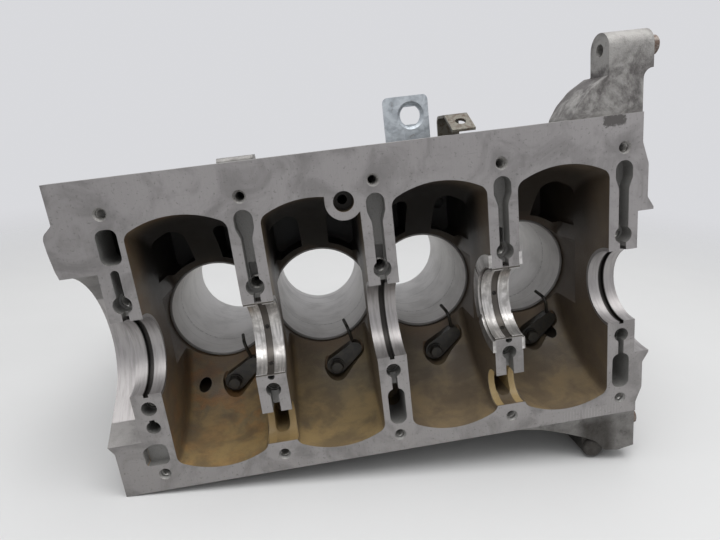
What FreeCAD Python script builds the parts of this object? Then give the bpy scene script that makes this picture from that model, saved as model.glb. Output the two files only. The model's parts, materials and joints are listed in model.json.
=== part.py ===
import FreeCAD, Part

import math
import os

# Four-cylinder engine block of cast aluminium with cast-in iron liners, as it leaves the
# engine: the crankcase is open where the lower half was unbolted.
# Frame, in millimetres: X along the crank, +X to the transmission end. +Y along the bores,
# from the crankcase joint face (Y = 0) to the head face. +Z completes it: the block lies on
# its -Z side. The origin is on the crank axis, in the joint face, at the middle bearing.

V = FreeCAD.Vector

# Cylinders
CYLINDERS = 4
BORE_R = 43.5
LINER_WALL = 2.2
LINER_CHAMFER = 0.8
BORE_WEB = 2.6            # metal between two neighbouring liners
BORE_FOOT = 92.0          # crank end of the liners
BORE_LENGTH = 139.5
BARREL_WALL = 4.3
JACKET_GAP = 8.0
JACKET_WALL = 6.0
JACKET_DEPTH = 104.0
BORE_RELIEF = 42.0        # how far the bulkheads are cut back below the liners

# Crank line
HOUSING_R = 29.5
SHELL_WALL = 2.0
SHELL_SIDE_GAP = 0.4
SHELL_GROOVE_W = 5.5
SHELL_GROOVE_DEPTH = 0.9
SHELL_HOLE_R = 1.9
BULKHEAD = 23.0
OIL_GROOVE_W = 3.6
OIL_GROOVE_DEPTH = 2.4
WASHER_T = 2.5
WASHER_R = 40.0
WASHER_SEAT = 0.8         # depth of the washer's recess in the bulkhead's side
WASHER_GAP = 0.2

# Crankcase
SWING_R = 100.5           # crown of a bay, from the crank axis
CROWN_R = 68.0
BAY_CORNER_R = 8.0
CASE_WALL = 7.0
RAIL_TOP = 30.5           # joint face above the crown of the bays
RAIL_BOTTOM = 12.5
RAIL_T = 12.0
SHELF_WALL = 14.0
FEED_BOSS_R = 13.5
SHELF_DEPTH = 110.0
GALLERY_R = 6.0
GALLERY_Y = 94.0
POCKET_WALL = 8.0
POCKET_DROP = 18.5        # from the crown line down to the roof of the pockets
POCKET_DEPTH = 118.0

# Fasteners' holes
MAIN_BOLT_EDGE = 12.0     # from the housing bore to the bolt's axis
MAIN_BOLT_R = 5.0
MAIN_COUNTER_TOP_R = 6.8
MAIN_COUNTER_BOTTOM_R = 5.8
MAIN_COUNTER_DEPTH = 12.0
MAIN_BOLT_DEPTH = 62.0
RAIL_BOLT_R = 3.6
RAIL_MOUTH_R = 4.7
RAIL_BOLT_DEPTH = 26.0
RAIL_BOLT_TOP = 6.7       # from the crown line of the bays to the bolt's axis
RAIL_BOLT_BOTTOM = -1.9
HEAD_BOLT_R = 5.2
HEAD_BOLT_WEB = 4.0
HEAD_BOLT_DEPTH = 88.0
HEAD_COLUMN_WALL = 6.8
HEAD_DOWEL_R = 7.2
HEAD_DOWEL_SEAT = 9.0
HEAD_DOWEL_LENGTH = 14.0
HEAD_DOWEL_WALL = 1.5
DRAIN_COLUMN_R = 10.5
DRAIN_HOLE_R = 6.0
BELL_BOLT_R = 5.2
BELL_BOSS_R = 12.0
CASE_BOLT_R = 2.6         # small bolts of the chain case and the bracket feet

# Ends
FRONT_WALL = 21.5         # from the first bulkhead to the chain case face
CHAIN_PLATE_T = 13.0
CHAIN_HOLLOW = 7.0
FRONT_RIM = 4.0
FRONT_RECESS_R = 55.5
FRONT_RECESS_TOP = 66.0
FRONT_RECESS_TIP = 68.5
REAR_RAIL = 2.5
REAR_WALL = 7.5
REAR_RIM = 12.5
REAR_RECESS_R = 58.5
REAR_RIM_BAND = 2.0
BELL_HOLLOW = 6.0
LUG_HEIGHT = 46.0         # from the joint face's top edge to the lug's axis
LUG_FRONT = 5.0
LUG_LENGTH = 34.0
LUG_STEP = 7.5            # undercut of the lug's root, from the mounting plane
DOWEL_R = 7.0
DOWEL_WALL = 1.6
DOWEL_LENGTH = 17.0
DOWEL_SEAT = 9.0
FOOT_R = 9.0
FOOT_LENGTH = 40.0

# Small parts
JET_LINK_T = 8.0
JET_BIG_R = 9.0
JET_SMALL_R = 6.5
JET_PAD_Y = 82.5
JET_SEAT_MARGIN = 2.5     # spot face round a jet's outline
JET_TUBE_R = 1.5
JET_TUBE_BORE_R = 0.8
JET_BEND_R = 6.0
JET_ROOT = 2.0            # the tube starts this far above the nose's axis
JET_KNEE = (-4.0, -6.0, 22.0)
JET_TIP = (-6.4, 9.5, 25.0)
JET_SCREW_GRIP = 16.0
BRACKET_SCREW_LENGTH = 12.0
M6_R = 3.0
M6_FIT = 0.15             # between a screw and its hole
M6_HEAD_R = 5.4
M6_HEAD_H = 4.5
M6_FLANGE_R = 7.0
M6_FLANGE_H = 1.4
SHEET_T = 2.0
BRACKET_WIDTH = 35.0
BRACKET_HOLE_R = 7.9
BRACKET_HOLE_FLAT = 6.6
BRACKET_FLARE_R = 10.4
BRACKET_FLARE_H = 2.4
CLIP_WIDTH = 17.0
CLIP_HOLE_R = 3.9
CLIP_RISE = 13.4          # from the joint face's top edge to the top of the clip's flap
CLIP_BACK = 20.0          # from the joint face back to the top of the flap
CLIP_EDGE = (1.5, 2.4)    # the flap's edge, behind the joint face and above its top edge
BRACKET_PLATE_Y = 41.0
BRACKET_RISE = 32.0
DRAIN_BOLT_R = 6.0
DRAIN_HEAD_R = 9.5
DRAIN_HEAD_H = 8.0
DRAIN_BOSS_R = 13.0
WASHER_SHEET = 1.5
PLUG_R = 8.0
PLUG_T = 5.0

# Worked out from the sizes above
LINER_R = BORE_R + LINER_WALL
PITCH = 2 * LINER_R + BORE_WEB
DECK = BORE_FOOT + BORE_LENGTH
BARREL_R = LINER_R + BARREL_WALL
JACKET_R = BARREL_R + JACKET_GAP
WATER_WALL_R = JACKET_R + JACKET_WALL
BAY_HALF = (PITCH - BULKHEAD) / 2
CASE_R = SWING_R + CASE_WALL
FACE_TOP = SWING_R + RAIL_TOP
FACE_BOTTOM = -(SWING_R + RAIL_BOTTOM)
SHELL_R = HOUSING_R - SHELL_WALL
MAIN_BOLT_Z = HOUSING_R + MAIN_BOLT_EDGE
RAIL_BOLT_Z = (SWING_R + RAIL_BOLT_TOP, -(SWING_R + RAIL_BOLT_BOTTOM))
HEAD_BOLT_Z = math.sqrt((JACKET_R + HEAD_BOLT_WEB + HEAD_BOLT_R)**2 - (PITCH / 2)**2)
HEAD_COLUMN_R = HEAD_BOLT_R + HEAD_COLUMN_WALL
BULKHEAD_X = [(i - CYLINDERS / 2) * PITCH for i in range(CYLINDERS + 1)]
CYLINDER_X = [x + PITCH / 2 for x in BULKHEAD_X[:-1]]
CASE_FRONT = BULKHEAD_X[0] - BULKHEAD / 2
CASE_REAR = BULKHEAD_X[-1] + BULKHEAD / 2
FRONT = CASE_FRONT - FRONT_WALL
REAR = CASE_REAR + REAR_RIM
SHELF_Z = -(SWING_R - POCKET_DROP + SHELF_WALL)
GALLERY_Z = SHELF_Z + 2 * GALLERY_R
POCKET_TOP = SWING_R - POCKET_DROP
POCKET_Z = POCKET_TOP + POCKET_WALL
LUG_Z = FACE_TOP + LUG_HEIGHT
LUG_Y = LUG_FRONT + BELL_BOSS_R
FOOT_X = REAR - 42.0
FOOT_Z = FACE_BOTTOM - 36.5
THRUST_X = BULKHEAD_X[-2]
SHELL_X = (BULKHEAD_X[1], BULKHEAD_X[-2])
JET_BOLT = (4.0, -LINER_R - 19.0)     # from a cylinder's axis, along X and Z
JET_NOSE = (22.5, -LINER_R - 5.5)
BOSS_TOP = POCKET_Z + 12.0
BRACKET_FOOT = (36.0, 58.0)
CLIP_FOOT = (68.5, 62.0)
DRAIN_PLACE = (40.0, 150.0)
DRAIN_BOSS_Z = -(WATER_WALL_R + 12.0)
# Bolts of the bell housing, along Y and Z, in order round the rear face
BELL_BOLTS = [
    (30.0, LUG_Z - 14.0),
    (88.0, 142.0),
    (DECK - 81.5, 92.0),
    (DECK - 55.5, 20.0),
    (DECK - 71.5, -60.0),
    (100.0, FACE_BOTTOM - 5.0),
    (30.0, FACE_BOTTOM - 25.0),
]


def on_xz(y):
    """Places outline points (x, z) at height y along the bores."""
    return lambda u, v: V(u, y, v)


def on_yz(x):
    """Places outline points (y, z) at x along the crank."""
    return lambda u, v: V(x, u, v)


def loop(corners, place):
    """Closed wire through corners (u, v) or (u, v, radius), rounded by their radii."""
    flat = [(c[0], c[1], c[2] if len(c) > 2 else 0.0) for c in corners]
    marks = []
    for i, (u, v, r) in enumerate(flat):
        before = flat[i - 1]
        after = flat[(i + 1) % len(flat)]
        du, dv = before[0] - u, before[1] - v
        eu, ev = after[0] - u, after[1] - v
        dl, el = math.hypot(du, dv), math.hypot(eu, ev)
        du, dv, eu, ev = du / dl, dv / dl, eu / el, ev / el
        turn = math.acos(max(-1.0, min(1.0, du * eu + dv * ev)))
        if r <= 0 or turn > math.pi - 1e-6:
            marks.append(((u, v), None, (u, v)))
            continue
        reach = r / math.tan(turn / 2)
        half = math.hypot(du + eu, dv + ev)
        depth = r / math.sin(turn / 2) - r
        middle = (u + (du + eu) / half * depth, v + (dv + ev) / half * depth)
        marks.append(((u + du * reach, v + dv * reach), middle,
                      (u + eu * reach, v + ev * reach)))
    edges = []
    for i, (start, middle, end) in enumerate(marks):
        if middle:
            edges.append(Part.Arc(place(*start), place(*middle), place(*end)).toShape())
        following = marks[(i + 1) % len(marks)][0]
        if math.dist(end, following) > 1e-6:
            edges.append(Part.LineSegment(place(*end), place(*following)).toShape())
    return Part.Wire(edges)


def belt(points, radius, place):
    """Wire round equal circles at points, which go round a convex shape clockwise."""
    edges = []
    count = len(points)
    normals = []
    for i in range(count):
        (u0, v0), (u1, v1) = points[i], points[(i + 1) % count]
        length = math.hypot(u1 - u0, v1 - v0)
        normals.append((-(v1 - v0) / length, (u1 - u0) / length))
    for i in range(count):
        u, v = points[i]
        (au, av), (bu, bv) = normals[i - 1], normals[i]
        half = math.hypot(au + bu, av + bv)
        ends = [place(u + n * radius, v + m * radius)
                for n, m in ((au, av), ((au + bu) / half, (av + bv) / half), (bu, bv))]
        edges.append(Part.Arc(*ends).toShape())
        nu, nv = points[(i + 1) % count]
        edges.append(Part.LineSegment(ends[2], place(nu + bu * radius, nv + bv * radius))
                     .toShape())
    return Part.Wire(edges)


def prism(wire, length, direction):
    """Solid that pushes a flat closed wire along a direction."""
    return Part.Face(wire).extrude(V(*direction) * length)


def slab(corners, y0, y1):
    """Prism of an (x, z) outline between two heights along the bores."""
    return prism(loop(corners, on_xz(y0)), y1 - y0, (0, 1, 0))


def rail(corners, x0, x1):
    """Prism of a (y, z) outline between two places along the crank."""
    return prism(loop(corners, on_yz(x0)), x1 - x0, (1, 0, 0))


def pillar(x, z, radius, y0, y1):
    """Cylinder parallel to the bores."""
    return Part.makeCylinder(radius, y1 - y0, V(x, y0, z), V(0, 1, 0))


def roller(y, z, radius, x0, x1):
    """Cylinder parallel to the crank."""
    return Part.makeCylinder(radius, x1 - x0, V(x0, y, z), V(1, 0, 0))


def post(x, y, radius, z0, z1):
    """Cylinder along Z."""
    return Part.makeCylinder(radius, abs(z1 - z0), V(x, y, min(z0, z1)), V(0, 0, 1))


def half_turn(profile):
    """Turns an (x, radius) outline half way round the crank, on the bores' side."""
    wire = loop([(c[0], -c[1], *c[2:]) for c in profile], on_xz(0.0))
    return Part.Face(wire).revolve(V(0, 0, 0), V(1, 0, 0), 180)


def slot(x, z0, z1, width, y0, y1, corner=None):
    """Upright slot of an (x, z) outline with rounded ends."""
    r = width / 2 - 0.01 if corner is None else corner
    half = width / 2
    return slab([(x - half, z0, r), (x + half, z0, r), (x + half, z1, r), (x - half, z1, r)],
                y0, y1)


def band(path, thickness):
    """Corners of a sheet's edge that follows path, given as (u, v) or (u, v, radius)."""
    flat = [(c[0], c[1], c[2] if len(c) > 2 else 0.0) for c in path]
    sides = ([], [])
    for i, (u, v, r) in enumerate(flat):
        before = flat[max(i - 1, 0)]
        after = flat[min(i + 1, len(flat) - 1)]
        first = (u - before[0], v - before[1]) if i else (after[0] - u, after[1] - v)
        last = (after[0] - u, after[1] - v) if i < len(flat) - 1 else first
        a = math.atan2(first[1], first[0])
        b = math.atan2(last[1], last[0])
        turn = (b - a + math.pi) % (2 * math.pi) - math.pi
        across = a + turn / 2 + math.pi / 2
        reach = thickness / 2 / math.cos(turn / 2)
        for side, sign in zip(sides, (1, -1)):
            inner = r - thickness / 2 * math.copysign(1, turn) * sign if r else 0.0
            side.append((u + sign * reach * math.cos(across),
                         v + sign * reach * math.sin(across), inner))
    return sides[0] + sides[1][::-1]


def hexagon(x, z, radius, y0, y1):
    """Six-sided prism parallel to the bores; radius is to the flats."""
    corner = radius / math.cos(math.pi / 6)
    points = [(x + corner * math.cos(math.radians(60 * k)),
               z + corner * math.sin(math.radians(60 * k))) for k in range(6)]
    return slab(points, y0, y1)


def screw(length):
    """Flanged hexagon screw M6 at the origin, its head on the -Y side of Y = 0."""
    head = hexagon(0, 0, M6_HEAD_R, -M6_HEAD_H - M6_FLANGE_H, 0)
    chamfer = Part.makeCone(M6_HEAD_R * 0.9, M6_HEAD_R * 2.0, M6_HEAD_R * 1.6,
                            V(0, -M6_HEAD_H - M6_FLANGE_H, 0), V(0, 1, 0))
    flange = pillar(0, 0, M6_FLANGE_R, -M6_FLANGE_H, 0)
    return head.common(chamfer).fuse([flange, pillar(0, 0, M6_R, 0, length)]).removeSplitter()


def rail_plate():
    """Joint rail of the crankcase, with the outline that its machined face shows."""
    bulge = [(FRONT, FACE_TOP - 27.5, 3), (FRONT - 7.5, FACE_TOP - 34, 8),
             (FRONT - 7.0, FACE_TOP - 46, 10), (FRONT - 5.5, FACE_TOP - 59, 4),
             (FRONT - FRONT_RIM, FRONT_RECESS_TOP)]
    outline = [(FRONT, FACE_TOP)] + bulge
    outline += [(FRONT - FRONT_RIM, -FRONT_RECESS_TIP),
                (FRONT, -FRONT_RECESS_TIP - 6.5, 3),
                (FRONT, FACE_BOTTOM),
                (CASE_REAR + REAR_RAIL, FACE_BOTTOM),
                (CASE_REAR + REAR_RAIL, -SWING_R - 4, 6),
                (CASE_REAR + REAR_WALL, -SWING_R + 9, 8),
                (CASE_REAR + REAR_WALL, -REAR_RECESS_R - 10, 3),
                (REAR, -REAR_RECESS_R),
                (REAR, REAR_RECESS_R),
                (CASE_REAR + REAR_WALL, REAR_RECESS_R + 10, 6),
                (CASE_REAR + REAR_WALL, SWING_R - 7, 8),
                (CASE_REAR + REAR_RAIL, SWING_R + 9, 8),
                (CASE_REAR + REAR_RAIL, FACE_TOP)]
    bulge_block = slab([(FRONT + 9, FACE_TOP - 27.5)] + bulge + [(FRONT + 9, FRONT_RECESS_TOP)],
                       0, RAIL_T * 2.5)
    return slab(outline, 0, RAIL_T).fuse(bulge_block)


def crankcase():
    """Half-drum round the crank with the shelf that holds the oil gallery."""
    drum = half_turn([(FRONT, 0), (FRONT, CASE_R), (CASE_REAR + REAR_RAIL, CASE_R),
                      (CASE_REAR + REAR_RAIL, 0)])
    front_hub = half_turn([(FRONT - FRONT_RIM, 0), (FRONT - FRONT_RIM, FRONT_RECESS_TIP - 1),
                           (FRONT, FRONT_RECESS_TIP + 6, 3), (FRONT, CASE_R - 2),
                           (CASE_FRONT, CASE_R - 2), (CASE_FRONT, 0)])
    rear_hub = half_turn([(CASE_REAR, 0), (CASE_REAR, CASE_R - 1),
                          (CASE_REAR + REAR_RAIL, CASE_R - 1),
                          (CASE_REAR + REAR_RAIL, SWING_R + 4, 6),
                          (CASE_REAR + REAR_WALL, SWING_R - 9, 8),
                          (CASE_REAR + REAR_WALL, REAR_RECESS_R + 10, 4),
                          (REAR, REAR_RECESS_R + REAR_RIM_BAND), (REAR, 0)])
    shelf = rail([(30, -50), (52, SHELF_Z, 12), (SHELF_DEPTH, SHELF_Z, 10),
                  (SHELF_DEPTH + 16, -WATER_WALL_R + 6), (SHELF_DEPTH + 16, 0), (30, 0)],
                 FRONT + 8, CASE_REAR + REAR_RAIL)
    roof = rail([(30, 50), (50, POCKET_Z, 12), (POCKET_DEPTH + 4, POCKET_Z, 10),
                 (POCKET_DEPTH + 24, WATER_WALL_R - 6), (POCKET_DEPTH + 24, 0), (30, 0)],
                FRONT + 8, CASE_REAR + REAR_RAIL)
    return drum.fuse([front_hub, rear_hub, shelf, roof])


def water_wall():
    """Outer wall of the water jacket, scalloped round the cylinders, with the bolt columns."""
    solids = [pillar(x, 0, WATER_WALL_R, BORE_FOOT - 6, DECK) for x in CYLINDER_X]
    solids += [pillar(x, side * HEAD_BOLT_Z, HEAD_COLUMN_R, BORE_FOOT - 30, DECK)
               for x in BULKHEAD_X for side in (1, -1)]
    solids += [pillar(x, z, DRAIN_COLUMN_R, POCKET_DEPTH, DECK) for x, z in drain_places()]
    solids += [pillar(x, 0, WATER_WALL_R + 3, DECK - RAIL_T, DECK) for x in CYLINDER_X]
    return solids[0].fuse(solids[1:])


def drain_places():
    """Oil drains from the head, along X and Z: one beside each cylinder."""
    return [(x + BARREL_R * 0.56, WATER_WALL_R + 4.0) for x in CYLINDER_X]


def side_ribs():
    """Ribs on both flanks in line with the bulkheads, and the webs that stiffen the jacket."""
    solids = []
    for x in BULKHEAD_X[1:-1]:
        solids.append(rail([(RAIL_T - 1, FACE_TOP - 4), (RAIL_T - 1, 60), (POCKET_DEPTH, 60),
                            (POCKET_DEPTH, POCKET_Z + 3, 3), (44, POCKET_Z + 9, 30)],
                           x - 4, x + 4))
        solids.append(rail([(RAIL_T - 1, FACE_BOTTOM + 2), (44, SHELF_Z - 5, 30),
                            (SHELF_DEPTH, SHELF_Z - 3, 3), (DECK - 20, -HEAD_BOLT_Z - 14),
                            (DECK - 20, -40), (RAIL_T - 1, -60)],
                           x - 4, x + 4))
    return solids


def chain_face():
    """Plate at the front end that carries the chain case on two rails."""
    return rail([(0, FACE_TOP), (20, FACE_TOP - 2, 20), (62, FACE_TOP - 22, 40),
                 (DECK, POCKET_Z + 3), (DECK, SHELF_Z - 2), (62, SHELF_Z - 10, 40),
                 (20, FACE_BOTTOM, 10), (0, FACE_BOTTOM)], FRONT, FRONT + CHAIN_PLATE_T)


def chain_hollow():
    """Recess between the chain case's two rails, open at the head face."""
    return rail([(FRONT_RECESS_TIP + 7, POCKET_Z - 8, 14), (DECK + 1, POCKET_Z - 14),
                 (DECK + 1, SHELF_Z + 16), (FRONT_RECESS_TIP + 7, SHELF_Z + 12, 14)],
                FRONT - 1, FRONT + CHAIN_HOLLOW)


def bell_face():
    """Flange at the rear end that carries the bell housing: a rim with a boss at each bolt."""
    outer = prism(belt(BELL_BOLTS, BELL_BOSS_R, on_yz(CASE_REAR + 1)),
                  REAR - CASE_REAR - 1, (1, 0, 0))
    middle = (sum(p[0] for p in BELL_BOLTS) / len(BELL_BOLTS),
              sum(p[1] for p in BELL_BOLTS) / len(BELL_BOLTS))
    inset = []
    for y, z in BELL_BOLTS:
        length = math.hypot(y - middle[0], z - middle[1])
        share = 1 - 24.0 / length
        inset.append((middle[0] + (y - middle[0]) * share, middle[1] + (z - middle[1]) * share))
    floor = REAR - BELL_HOLLOW
    hollow = prism(belt(inset, BELL_BOSS_R - 2, on_yz(floor)), BELL_HOLLOW + 1, (1, 0, 0))
    hollow = hollow.cut([roller(y, z, BELL_BOSS_R, floor, REAR + 1) for y, z in BELL_BOLTS]
                        + [roller(0, 0, REAR_RECESS_R + 10, floor, REAR + 1)])
    return outer.cut(hollow)


def upper_lug():
    """Lug above the joint face with its gusset, for the bell housing's top bolt."""
    x1 = REAR
    x0 = x1 - LUG_LENGTH
    side = x1 - LUG_STEP
    back = LUG_FRONT + 2 * BELL_BOSS_R
    head = rail([(LUG_FRONT, FACE_TOP - 10), (LUG_FRONT, LUG_Z + BELL_BOSS_R, BELL_BOSS_R - 0.01),
                 (back, LUG_Z + BELL_BOSS_R, BELL_BOSS_R - 0.01), (back, FACE_TOP - 10)], x0, x1)
    under = LUG_Z - 16
    step = slab([(side, FACE_TOP - 11), (side, under, 7), (x1 + 1, under),
                 (x1 + 1, FACE_TOP - 11)], LUG_FRONT - 1, back + 1)
    foot = FACE_TOP + 0.5
    gusset = slab([(x0 - 26, FACE_TOP - 20), (x0 - 28.5, foot, 6), (x0 - 22, foot + 10.5, 14),
                   (x0 - 12, foot + 20.5, 20), (x0 + 1, LUG_Z - 17.5), (side, LUG_Z - 17.5),
                   (side, FACE_TOP - 20)], LUG_FRONT, LUG_FRONT + 35)
    return head.cut(step).fuse(gusset)


def lower_web():
    """Web below the joint face at the rear, with the foot that the block lies on."""
    x1 = CASE_REAR + 4.3
    outline = [(112, 3), (112, -2.5), (90, -6.9, 60), (70, -14, 80), (53.7, -21, 60),
               (42.6, -27, 10), (34.5, -37.2, 4), (22.4, -39.2, 8)]
    web = slab([(REAR - c[0], FACE_BOTTOM + c[1], *c[2:]) for c in outline]
               + [(x1, FACE_BOTTOM - 36.7), (x1, FACE_BOTTOM + 3)],
               LUG_FRONT - 1, LUG_FRONT + 34)
    foot = pillar(FOOT_X, FOOT_Z, FOOT_R, LUG_FRONT + 2, LUG_FRONT + 2 + FOOT_LENGTH)
    foot = foot.makeFillet(FOOT_R * 0.4, [e for e in foot.Edges
                                          if e.BoundBox.YMax < LUG_FRONT + 2 + 1e-6])
    neck = slab([(FOOT_X - FOOT_R, FOOT_Z), (FOOT_X - FOOT_R, FACE_BOTTOM),
                 (FOOT_X + FOOT_R, FACE_BOTTOM), (FOOT_X + FOOT_R, FOOT_Z)],
                LUG_FRONT + 6, LUG_FRONT + FOOT_LENGTH - 4)
    return web.fuse([foot, neck])


def flank_bosses():
    """Bosses on both flanks: brackets and sensor above, mount and coolant drain below."""
    high = rail([(76, 60), (76, FACE_TOP + 2.5, 4), (100, FACE_TOP + 2.5, 4), (100, 60)],
                BULKHEAD_X[1] - 24, BULKHEAD_X[1] + 6)
    solids = [high]
    for x, y in (BRACKET_FOOT, CLIP_FOOT):
        solids.append(post(x, y, 10, 60, BOSS_TOP))
    solids.append(post(CYLINDER_X[1] + 47, 104, 11, 60, POCKET_Z + 8))
    for x, y in mount_places():
        solids.append(post(x, y, 12, -40, SHELF_Z))
    solids.append(post(*DRAIN_PLACE, DRAIN_BOSS_R, -50, DRAIN_BOSS_Z))
    port = rail([(140, 30), (140, WATER_WALL_R + 14, 6), (196, WATER_WALL_R + 14, 6), (196, 30)],
                CYLINDER_X[0] - 28, CYLINDER_X[0] + 20)
    solids.append(port)
    return solids


def mount_places():
    """Bolts of the engine mount on the lower flank, along X and Y."""
    x = CYLINDER_X[0]
    return [(x - 40, DECK - 36), (x + 24, DECK - 36), (x - 40, DECK - 84), (x + 24, DECK - 84)]


def feed_boss():
    """Boss of the oil feed that reaches into the second bay, with its counterbored hole."""
    x = BULKHEAD_X[2] - 22.5
    z = SWING_R - 6.0
    boss = pillar(x, z, FEED_BOSS_R, 0, 60)
    boss = boss.fuse(slab([(x - FEED_BOSS_R + 0.1, z), (x - FEED_BOSS_R + 0.1, SWING_R + 6),
                           (x + 20, SWING_R + 6), (x + 20, z - 4.5), (x + 10, z - 9)], 0, 27))
    holes = pillar(x, z, 7.5, -1, 14).fuse(pillar(x, z, 3.6, 10, 52))
    return boss, holes


def bay_tools():
    """What the four bays take out: the drum that each crank throw turns in."""
    return [Part.Face(Part.Wire(crown_profile(x))).revolve(V(0, 0, 0), V(1, 0, 0), 180)
            for x in CYLINDER_X]


def crown_profile(x):
    """Edges of a bay's half section: side walls, rounded shoulders and the crown's arc."""
    centre = SWING_R - CROWN_R
    inside = CROWN_R - BAY_CORNER_R
    shift = BAY_HALF - BAY_CORNER_R
    angle = math.asin(shift / inside)
    corner_r = centre + inside * math.cos(angle)
    place = on_xz(0.0)

    def at(u, radius):
        return place(x + u, -radius)

    edges = [Part.LineSegment(at(-BAY_HALF, 0), at(-BAY_HALF, corner_r)).toShape()]
    for side in (-1, 1):
        start = at(side * BAY_HALF, corner_r)
        tilt = (angle + math.pi / 2) / 2
        middle = at(side * (shift + BAY_CORNER_R * math.sin(tilt)),
                    corner_r + BAY_CORNER_R * math.cos(tilt))
        end = at(side * CROWN_R * math.sin(angle), centre + CROWN_R * math.cos(angle))
        edges.append(Part.Arc(start, middle, end).toShape())
    edges.insert(2, Part.Arc(at(-CROWN_R * math.sin(angle), centre + CROWN_R * math.cos(angle)),
                             at(0, SWING_R),
                             at(CROWN_R * math.sin(angle), centre + CROWN_R * math.cos(angle)))
                 .toShape())
    edges.append(Part.LineSegment(at(BAY_HALF, corner_r), at(BAY_HALF, 0)).toShape())
    edges.append(Part.LineSegment(at(BAY_HALF, 0), at(-BAY_HALF, 0)).toShape())
    return Part.__sortEdges__(edges)


def pocket_tools():
    """Drain pockets beside the barrels, in the bays' upper corners."""
    solids = []
    for x in CYLINDER_X:
        keep = pillar(x, 0, BARREL_R + 1.0, 0, DECK)
        for side in (1, -1):
            inner, outer = x + side * 12, x + side * (BAY_HALF + 1.5)
            cut = slab([(inner, 40, 6), (inner, POCKET_TOP, 8), (outer, POCKET_TOP, 8),
                        (outer, 40, 6)], 52, POCKET_DEPTH)
            solids.append(cut.cut(keep))
    return solids


def cylinder_tools():
    """What the cylinders take out: liner seats, relief below them and the water jacket."""
    seats = [pillar(x, 0, LINER_R, BORE_FOOT - BORE_RELIEF, DECK + 1) for x in CYLINDER_X]
    outer = [pillar(x, 0, JACKET_R, DECK - JACKET_DEPTH, DECK + 1) for x in CYLINDER_X]
    barrels = [pillar(x, 0, BARREL_R, DECK - JACKET_DEPTH - 1, DECK + 2) for x in CYLINDER_X]
    jacket = outer[0].fuse(outer[1:]).cut(barrels)
    return seats + [jacket]


def crank_tools():
    """Crank bore, the recesses at both ends, oil grooves and the thrust washers' seats."""
    solids = [roller(0, 0, HOUSING_R, FRONT - 20, REAR + 10)]
    solids.append(roller(0, 0, REAR_RECESS_R, CASE_REAR, REAR + 1))
    angle = math.acos(FRONT_RECESS_R / FRONT_RECESS_TIP)
    place = on_yz(FRONT - 20)
    top = place(0, FRONT_RECESS_TOP)
    side = place(FRONT_RECESS_R, 0)
    touch = place(FRONT_RECESS_R * math.sin(angle), -FRONT_RECESS_R * math.cos(angle))
    middle = place(FRONT_RECESS_R * math.cos((math.pi / 2 - angle) / 2),
                   -FRONT_RECESS_R * math.sin((math.pi / 2 - angle) / 2))
    tip = place(0, -FRONT_RECESS_TIP)
    quarter = Part.ArcOfEllipse(Part.Ellipse(top, side, place(0, 0)), 0, math.pi / 2)
    mouth = [place(-1, -FRONT_RECESS_TIP), place(-1, FRONT_RECESS_TOP)]
    edges = [quarter.toShape(), Part.Arc(side, middle, touch).toShape()]
    for a, b in ((touch, tip), (tip, mouth[0]), (mouth[0], mouth[1]), (mouth[1], top)):
        edges.append(Part.LineSegment(a, b).toShape())
    solids.append(prism(Part.Wire(Part.__sortEdges__(edges)), CASE_FRONT - FRONT + 20, (1, 0, 0)))
    for x in BULKHEAD_X[::2]:
        solids.append(roller(0, 0, HOUSING_R + OIL_GROOVE_DEPTH,
                             x - OIL_GROOVE_W / 2, x + OIL_GROOVE_W / 2))
    for side in (-1, 1):
        face = THRUST_X + side * BULKHEAD / 2
        ends = sorted((face - side * WASHER_SEAT, face + side * 1.0))
        solids.append(roller(0, 0, WASHER_R + WASHER_GAP, *ends))
    return solids


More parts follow.
